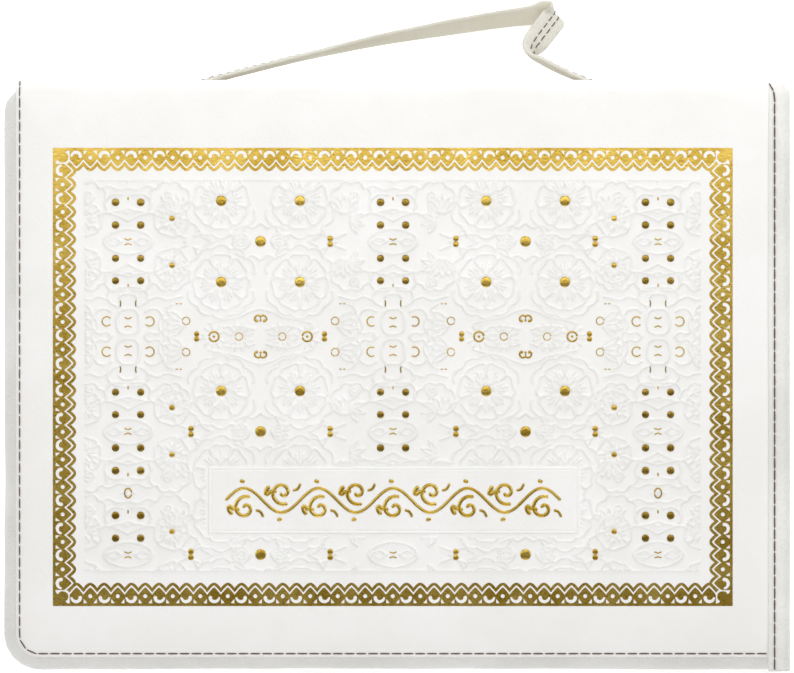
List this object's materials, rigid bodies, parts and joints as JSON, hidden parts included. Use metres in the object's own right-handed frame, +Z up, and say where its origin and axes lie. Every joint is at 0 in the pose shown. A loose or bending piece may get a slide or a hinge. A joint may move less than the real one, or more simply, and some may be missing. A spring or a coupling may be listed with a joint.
{
  "type": "prayer book in zip case",
  "caption": "Zipped white leather case with a gilt border, an embossed front and a carrying strap, holding thin coloured prayer booklets; the cover opens on a folding spine.",
  "frame": {"origin": "middle of the back cover's outer face, on the surface the case lies on", "axes": "+X along the width towards the spine, +Y towards the carrying strap, +Z up through the closed case's thickness"},
  "size_m": [0.2604, 0.2211, 0.045],
  "materials": {
    "white_leather": "smooth white grained leathercloth with blind embossing",
    "grain_leather": "pebbled white leathercloth",
    "seam_thread": "waxed brown sewing thread",
    "strap_thread": "brown sewing thread",
    "gilt_foil": "hot stamped gold foil",
    "grey_board": "uncoated grey board",
    "foam": "soft closed cell foam",
    "lining": "plain woven cloth",
    "zip_tape": "woven tape",
    "zip_coil": "nylon coil",
    "zip_metal": "plated die casting",
    "dark_tape": "dark woven tape",
    "elastic": "braided elastic cord",
    "paper": "cream book paper",
    "card_red": "laminated printed card",
    "card_orange": "laminated printed card",
    "card_yellow": "laminated printed card",
    "card_green": "laminated printed card",
    "card_blue": "laminated printed card",
    "card_violet": "laminated printed card"
  },
  "bodies": {
    "back_case": {"back_leather": "white_leather", "back_board": "grey_board", "back_lining": "lining", "back_wall": "grain_leather", "back_seam_thread": "seam_thread", "rear_zip_tape": "zip_tape", "rear_zip_coil": "zip_coil", "rear_zip_stops": "zip_metal", "back_spine_lap": "grain_leather", "strap_end_left": "grain_leather", "strap_end_right": "grain_leather"},
    "spine": {"spine_leather": "grain_leather", "spine_board": "grey_board", "spine_lining": "lining", "spine_end_flaps": "grain_leather", "binding_cords": "elastic", "zip_tail": "dark_tape"},
    "front_cover": {"front_leather": "white_leather", "front_foam": "foam", "front_board": "grey_board", "front_lining": "lining", "front_wall": "grain_leather", "front_seam_thread": "seam_thread", "front_zip_tape": "zip_tape", "front_zip_coil": "zip_coil", "front_zip_stops": "zip_metal", "front_spine_lap": "grain_leather", "gilt_border": "gilt_foil", "gilt_dots": "gilt_foil", "title_plate": "white_leather", "plate_ornament": "gilt_foil"},
    "zip_slider": {"zip_slider": "zip_metal"},
    "pull_tab": {"pull_tab": "zip_metal"},
    "strap": {"strap": "grain_leather", "strap_stitching": "strap_thread"},
    "booklet_1": {"booklet_1_cover": "card_red", "booklet_1_pages": "paper"},
    "booklet_2": {"booklet_2_cover": "card_orange", "booklet_2_pages": "paper"},
    "booklet_3": {"booklet_3_cover": "card_yellow", "booklet_3_pages": "paper"},
    "booklet_4": {"booklet_4_cover": "card_green", "booklet_4_pages": "paper"},
    "booklet_5": {"booklet_5_cover": "card_blue", "booklet_5_pages": "paper"},
    "booklet_6": {"booklet_6_cover": "card_violet", "booklet_6_pages": "paper"}
  },
  "joints": [
    {"name": "spine_fold", "type": "hinge", "parent": "back_case", "child": "spine", "pos_m": [0.1285, 0, 0.0015], "axis": [0, 1, 0], "range_deg": [0, 90]},
    {"name": "cover_open", "type": "hinge", "parent": "spine", "child": "front_cover", "pos_m": [0.1285, 0, 0.0425], "axis": [0, 1, 0], "range_deg": [0, 90]},
    {"name": "zip_slide", "type": "slide", "parent": "back_case", "child": "zip_slider", "axis": [-1, 0, 0], "range_m": [0, 0.223]},
    {"name": "pull_tab_swing", "type": "hinge", "parent": "zip_slider", "child": "pull_tab", "pos_m": [0.112, -0.0962, 0.022], "axis": [0, 0, 1], "range_deg": [0, 150]},
    {"name": "strap_lift", "type": "hinge", "parent": "back_case", "child": "strap", "pos_m": [0, 0.0963, 0.0125], "axis": [1, 0, 0], "range_deg": [0, 30]},
    {"name": "booklet_1_turn", "type": "hinge", "parent": "spine", "child": "booklet_1", "pos_m": [0.12, 0, 0.0069], "axis": [0, 1, 0], "range_deg": [-45, 0]},
    {"name": "booklet_2_turn", "type": "hinge", "parent": "spine", "child": "booklet_2", "pos_m": [0.12, 0, 0.01262], "axis": [0, 1, 0], "range_deg": [-27, 0]},
    {"name": "booklet_3_turn", "type": "hinge", "parent": "spine", "child": "booklet_3", "pos_m": [0.12, 0, 0.01834], "axis": [0, 1, 0], "range_deg": [-9, 0]},
    {"name": "booklet_4_turn", "type": "hinge", "parent": "spine", "child": "booklet_4", "pos_m": [0.12, 0, 0.02406], "axis": [0, 1, 0], "range_deg": [0, 9]},
    {"name": "booklet_5_turn", "type": "hinge", "parent": "spine", "child": "booklet_5", "pos_m": [0.12, 0, 0.02978], "axis": [0, 1, 0], "range_deg": [0, 27]},
    {"name": "booklet_6_turn", "type": "hinge", "parent": "spine", "child": "booklet_6", "pos_m": [0.12, 0, 0.0355], "axis": [0, 1, 0], "range_deg": [0, 45]}
  ],
  "couplings": [
    {"joint": "cover_open", "follows": "spine_fold", "ratio": 1},
    {"joint": "booklet_1_turn", "follows": "spine_fold", "ratio": -0.5},
    {"joint": "booklet_2_turn", "follows": "spine_fold", "ratio": -0.3},
    {"joint": "booklet_3_turn", "follows": "spine_fold", "ratio": -0.1},
    {"joint": "booklet_4_turn", "follows": "spine_fold", "ratio": 0.1},
    {"joint": "booklet_5_turn", "follows": "spine_fold", "ratio": 0.3},
    {"joint": "booklet_6_turn", "follows": "spine_fold", "ratio": 0.5}
  ]
}
